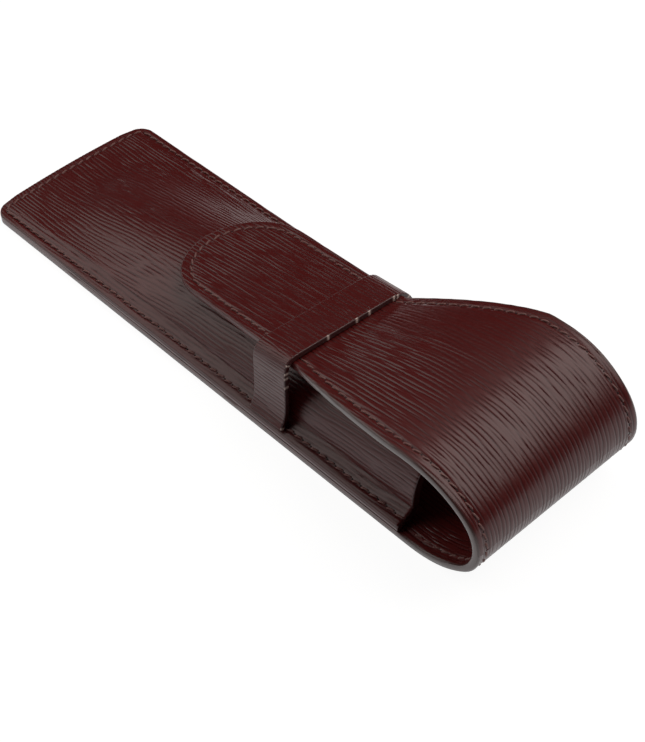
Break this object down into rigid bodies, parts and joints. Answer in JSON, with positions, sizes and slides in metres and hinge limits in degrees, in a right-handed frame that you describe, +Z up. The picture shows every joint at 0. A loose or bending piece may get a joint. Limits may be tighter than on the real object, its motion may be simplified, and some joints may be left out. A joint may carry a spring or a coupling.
{
  "type": "fountain pen case",
  "caption": "Slim leather pen case: a wedge-shaped pocket, and a flap that loops over its mouth and tucks a rounded tongue under a strap.",
  "frame": {"origin": "centre of the closed case's underside, on the surface it lies on", "axes": "+X along the case towards the flap loop, +Y across it, +Z up out of the pocket front"},
  "size_m": [0.1603, 0.046, 0.0284],
  "materials": {
    "ribbed_leather": "satin burgundy with a fine lengthwise rib",
    "lining_leather": "satin burgundy with a fine lengthwise rib",
    "board": "pressed fibre board",
    "thread": "waxed thread"
  },
  "bodies": {
    "case": {"back_outer": "ribbed_leather", "back_board": "board", "back_lining": "lining_leather", "pocket_outer": "ribbed_leather", "pocket_lining": "lining_leather", "strap_outer": "ribbed_leather", "strap_lining": "lining_leather", "near_seam_thread": "thread", "far_seam_thread": "thread", "end_seam_thread": "thread", "loop_thread": "thread"},
    "flap_bend": {"bend_outer": "ribbed_leather", "bend_lining": "lining_leather", "bend_thread": "thread"},
    "flap": {"flap_outer": "ribbed_leather", "flap_lining": "lining_leather", "flap_thread": "thread", "under_strap_outer": "ribbed_leather", "under_strap_lining": "lining_leather", "under_strap_thread": "thread", "tongue_outer": "ribbed_leather", "tongue_lining": "lining_leather", "tongue_thread": "thread"}
  },
  "joints": [
    {"name": "flap_open", "type": "hinge", "parent": "case", "child": "flap_bend", "pos_m": [0.07532, 0, 0.00452], "axis": [0, 1, 0], "range_deg": [0, 75], "deforming": ["under_strap_outer", "under_strap_lining", "under_strap_thread"]},
    {"name": "flap_roll", "type": "hinge", "parent": "flap_bend", "child": "flap", "pos_m": [0.07658, 0, 0.02175], "axis": [0, 1, 0], "range_deg": [0, 75]}
  ],
  "couplings": [
    {"joint": "flap_roll", "follows": "flap_open", "ratio": 1}
  ]
}
